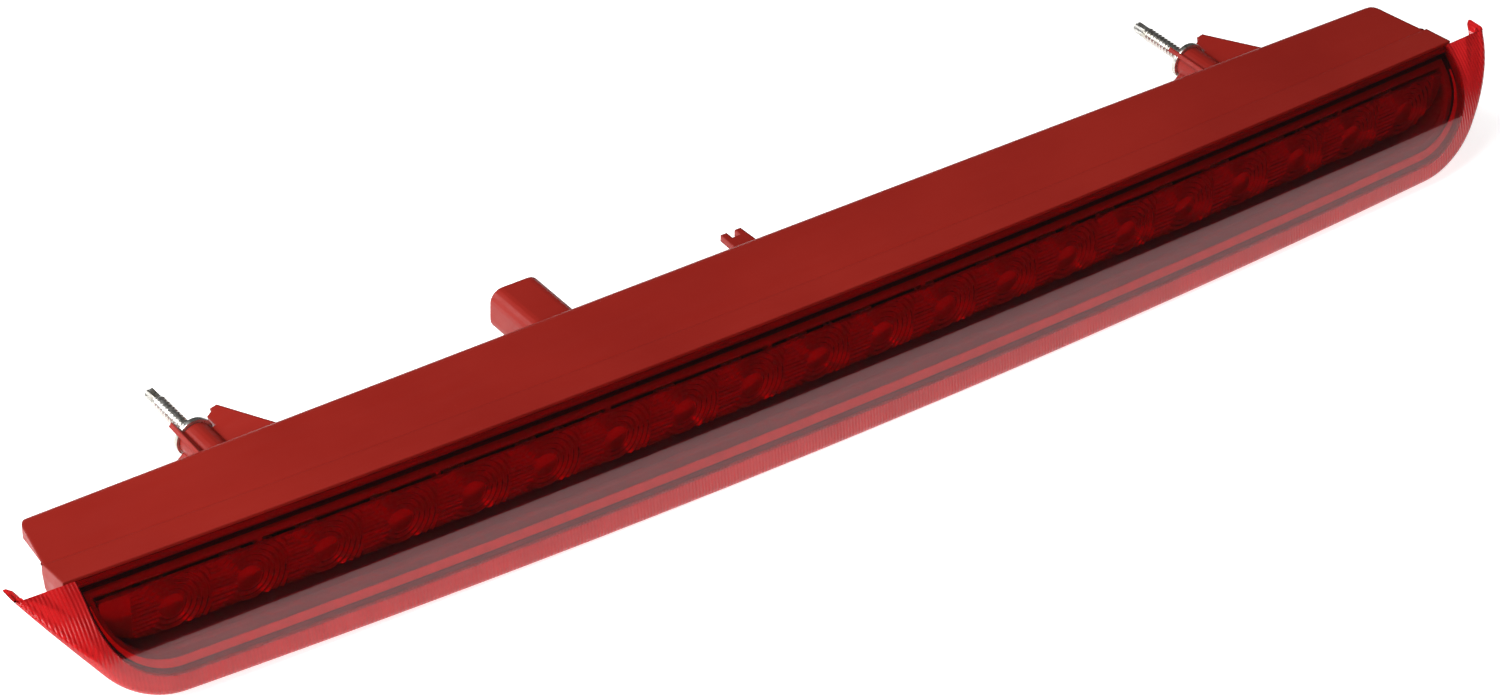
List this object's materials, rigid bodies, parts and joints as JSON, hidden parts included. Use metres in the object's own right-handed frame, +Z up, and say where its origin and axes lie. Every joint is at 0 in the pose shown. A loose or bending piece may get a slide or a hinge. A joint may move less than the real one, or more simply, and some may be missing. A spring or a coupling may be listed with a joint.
{
  "type": "third brake light",
  "caption": "Long slim high-mount brake lamp: red moulded housing, curved red lens with a wrapped rim, LED strip inside, rear studs and a connector socket.",
  "frame": {"origin": "on the flat back wall of the housing, midway between the two mounting studs and on their axis height", "axes": "+X along the lamp, -Y the way the light shines, +Y out of the back along the studs, +Z up"},
  "size_m": [0.7136, 0.1338, 0.0502],
  "materials": {
    "housing_red": "satin moulded",
    "lens_red": "clear polished",
    "seal_black": "matt bead",
    "optic_red": "clear ribbed",
    "board": "solder-resist",
    "led_clear": "clear epoxy",
    "chip": "matt",
    "zinc": "zinc plated",
    "tinned": "tin plated"
  },
  "bodies": {
    "root": {"housing": "housing_red", "outer_lens": "lens_red", "lens_seal": "seal_black", "inner_optic": "optic_red", "led_board": "board", "led_01": "led_clear", "led_02": "led_clear", "led_03": "led_clear", "led_04": "led_clear", "led_05": "led_clear", "led_06": "led_clear", "led_07": "led_clear", "led_08": "led_clear", "led_09": "led_clear", "led_10": "led_clear", "led_11": "led_clear", "led_12": "led_clear", "led_13": "led_clear", "led_14": "led_clear", "led_15": "led_clear", "led_16": "led_clear", "led_17": "led_clear", "led_18": "led_clear", "led_19": "led_clear", "led_20": "led_clear", "resistor_01": "chip", "resistor_02": "chip", "resistor_03": "chip", "resistor_04": "chip", "resistor_05": "chip", "board_screw_01": "zinc", "board_screw_02": "zinc", "board_screw_03": "zinc", "board_screw_04": "zinc", "board_screw_05": "zinc", "mount_stud_left": "zinc", "mount_stud_right": "zinc", "terminal_left": "tinned", "terminal_right": "tinned"}
  },
  "joints": []
}
